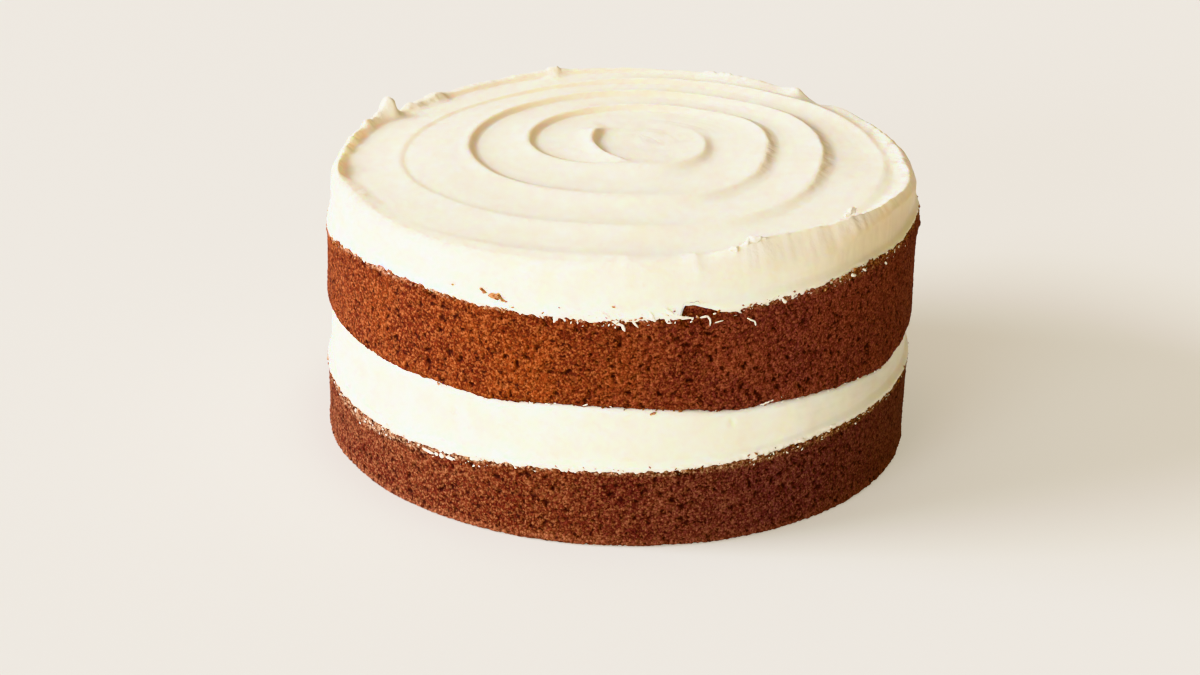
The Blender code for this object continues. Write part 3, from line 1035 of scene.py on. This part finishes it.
loose_crumb = sponge_crumb(
    "torn_golden_sponge",
    red="#8c4e2c",
    orange="#a0683a",
    browned="#5a221a",
    grain="#bd8450",
    dark="#6a3420",
    torn="#a87040",
    torn_pale="#d2a676",
    pore="#52281a",
    moist="#795659",
)
crumb_masks = {"crumb_relief": 0.3, "torn_crumb": 0.9, "browned": 0.0, "moist": 0.0}
scattered("sponge_crumbs", sponge_crumbs(), crumb_masks, loose_crumb)


# --- Table, light and camera ------------------------------------------------------------------
# A plain pale table, a large soft window low on the left that picks out the ridges, a reflector
# still lower at the front left, and a room whose pale ceiling and warm walls light the shadows.

TABLE_SIZE = 6.0
DAYLIGHT = "#e6edff"
ROOM_CEILING = "#dccfc8"
ROOM_WALLS = "#9a7c48"
# The ceiling's middle leans a little to the left.
CEILING_DIRECTION = (-0.44, 0.0, 0.90)

table_mesh = bpy.data.meshes.new("table")
half = TABLE_SIZE / 2
corners = [(-half, -half, 0), (half, -half, 0), (half, half, 0), (-half, half, 0)]
table_mesh.from_pydata(corners, [], [(0, 1, 2, 3)])
# A white acrylic board with a faint glow of its own, as over a light table, so shadows stay pale.
table_paint, table_tree, table_shader = new_material("lit_white_acrylic")
table_shader.inputs["Base Color"].default_value = linear("#b4b4b2")
table_shader.inputs["Roughness"].default_value = 0.9
table_shader.inputs["Emission Color"].default_value = linear("#fff8e0")
table_shader.inputs["Emission Strength"].default_value = 0.40
placed("table", table_mesh, table_paint)

world = bpy.data.worlds.new("studio_air")
world.use_nodes = True
air = world.node_tree
towards = add_node(air, "TexCoord").outputs["Generated"]
upward = {"operation": "DOT_PRODUCT", 1: CEILING_DIRECTION}
upward = add_node(air, "VectorMath", upward, {0: towards}).outputs["Value"]
glow = layered(air, ROOM_WALLS, [(upward, 0.0, 0.9, 1.0, ROOM_CEILING)])
air.links.new(glow, air.nodes["Background"].inputs["Color"])
bpy.context.scene.world = world


def soft_light(name, bearing, elevation, spread, strength, colour):
    """A distant soft light at a bearing and elevation, spread over an angle, all in degrees."""
    lamp = bpy.data.lights.new(name, "SUN")
    lamp.angle = math.radians(spread)
    lamp.energy = strength
    lamp.color = linear(colour)[:3]
    holder = bpy.data.objects.new(name, lamp)
    turn, rise = math.radians(bearing), math.radians(elevation)
    level = math.cos(rise)
    out = Vector((math.cos(turn) * level, math.sin(turn) * level, math.sin(rise)))
    holder.rotation_euler = (-out).to_track_quat("-Z", "Y").to_euler()
    bpy.context.scene.collection.objects.link(holder)


soft_light("window", -172, 19, 36, 6.3, DAYLIGHT)
soft_light("front_reflector", -124, 5, 32, 4.2, DAYLIGHT)

CAMERA_DISTANCE = 0.971
CAMERA_ELEVATION = math.radians(25.6)
CAMERA_SENSOR = 36
CAMERA_LENS = 81.75
CAMERA_TILT = math.radians(1.54)
CAMERA_TURN = math.radians(0.376)
CAMERA_ROLL = math.radians(1.905)

lens = bpy.data.cameras.new("camera")
lens.lens = CAMERA_LENS
lens.sensor_width = CAMERA_SENSOR
camera = bpy.data.objects.new("camera", lens)
bpy.context.scene.collection.objects.link(camera)
camera_place = Vector((0, -math.cos(CAMERA_ELEVATION), math.sin(CAMERA_ELEVATION))) * CAMERA_DISTANCE
camera.matrix_world = (
    Matrix.Translation(camera_place)
    @ (-camera_place).to_track_quat("-Z", "Y").to_matrix().to_4x4()
    @ Matrix.Rotation(CAMERA_TILT, 4, "X")
    @ Matrix.Rotation(CAMERA_TURN, 4, "Y")
    @ Matrix.Rotation(CAMERA_ROLL, 4, "Z")
)
bpy.context.scene.camera = camera
bpy.context.scene.view_settings.view_transform = "Khronos PBR Neutral"
